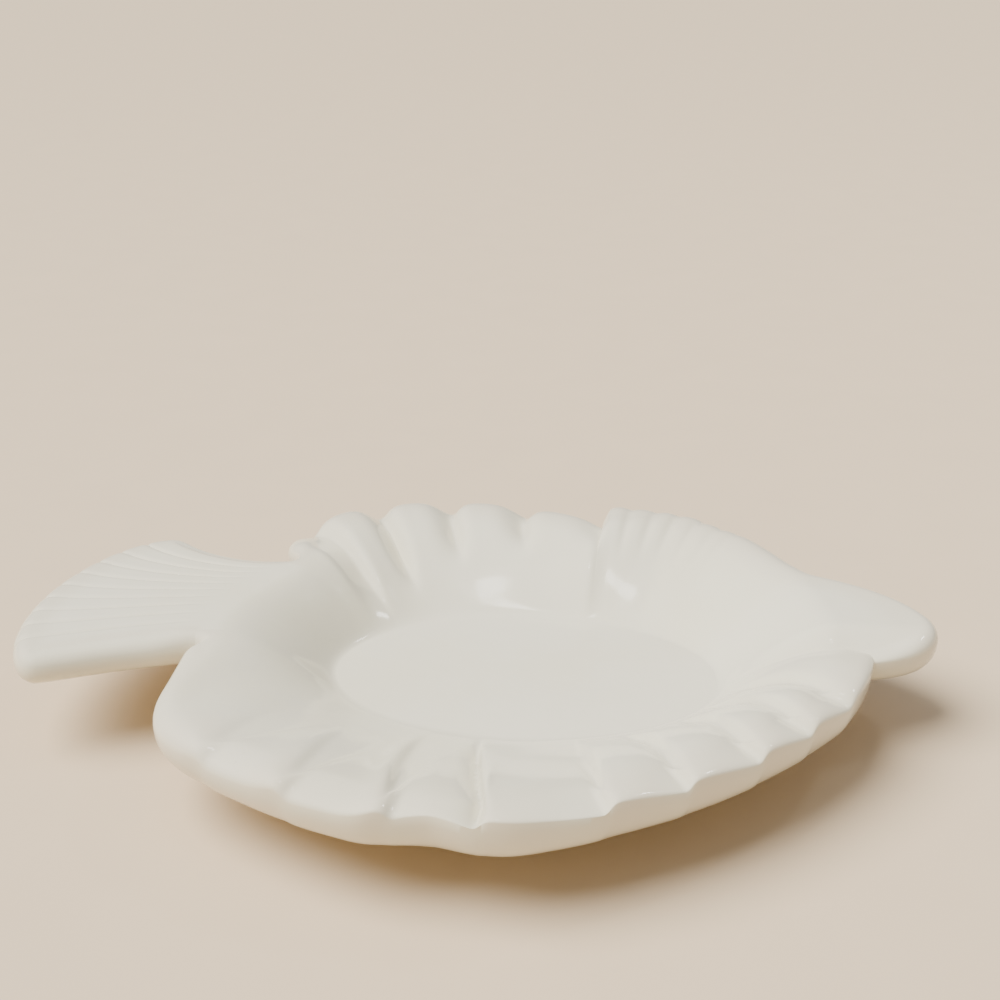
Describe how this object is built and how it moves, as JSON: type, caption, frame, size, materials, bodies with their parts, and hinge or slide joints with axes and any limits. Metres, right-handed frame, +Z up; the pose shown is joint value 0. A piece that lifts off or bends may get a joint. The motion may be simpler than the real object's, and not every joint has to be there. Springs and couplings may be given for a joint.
{
  "type": "trinket dish",
  "caption": "Fish-shaped trinket dish in ivory glazed stoneware, with an oval well, fluted fins for its rim, a smooth head with a snout and a ribbed fan tail.",
  "frame": {"origin": "middle of the dish's length and width, on the surface that it stands on", "axes": "+X from the tail to the snout, +Y from the belly fin to the dorsal fin, +Z up"},
  "size_m": [0.1656, 0.1156, 0.02],
  "materials": {
    "glaze": "glossy ivory-white ceramic glaze",
    "bare_clay": "unglazed fired clay"
  },
  "bodies": {
    "root": {"well_floor": "glaze", "foot_ring": "bare_clay", "dorsal_fin": "glaze", "belly_fin": "glaze", "head": "glaze", "tail_fin": "glaze"}
  },
  "joints": []
}
